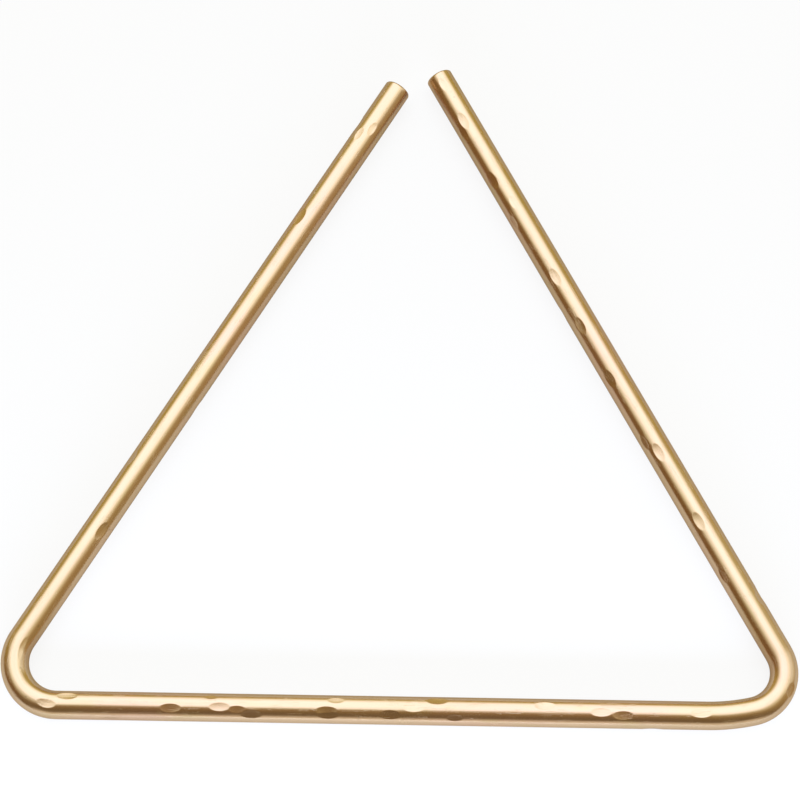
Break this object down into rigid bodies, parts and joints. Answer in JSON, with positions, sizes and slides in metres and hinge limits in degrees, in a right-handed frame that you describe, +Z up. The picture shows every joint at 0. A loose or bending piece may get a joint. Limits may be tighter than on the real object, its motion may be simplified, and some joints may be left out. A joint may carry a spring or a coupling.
{
  "type": "triangle instrument",
  "caption": "Hand-hammered bronze rod bent into an open triangle, hung from a bend and struck to ring as a percussion instrument.",
  "frame": {"origin": "on the resting surface, under the middle of the outline", "axes": "+X along the base bar from the left bend to the right one, +Y from the base bar towards the open corner, +Z up, square to the plane of the triangle"},
  "size_m": [0.254, 0.2268, 0.009],
  "materials": {
    "bronze": "drawn rod, hammered by hand, satin polish"
  },
  "bodies": {
    "root": {"triangle_rod": "bronze"}
  },
  "joints": []
}
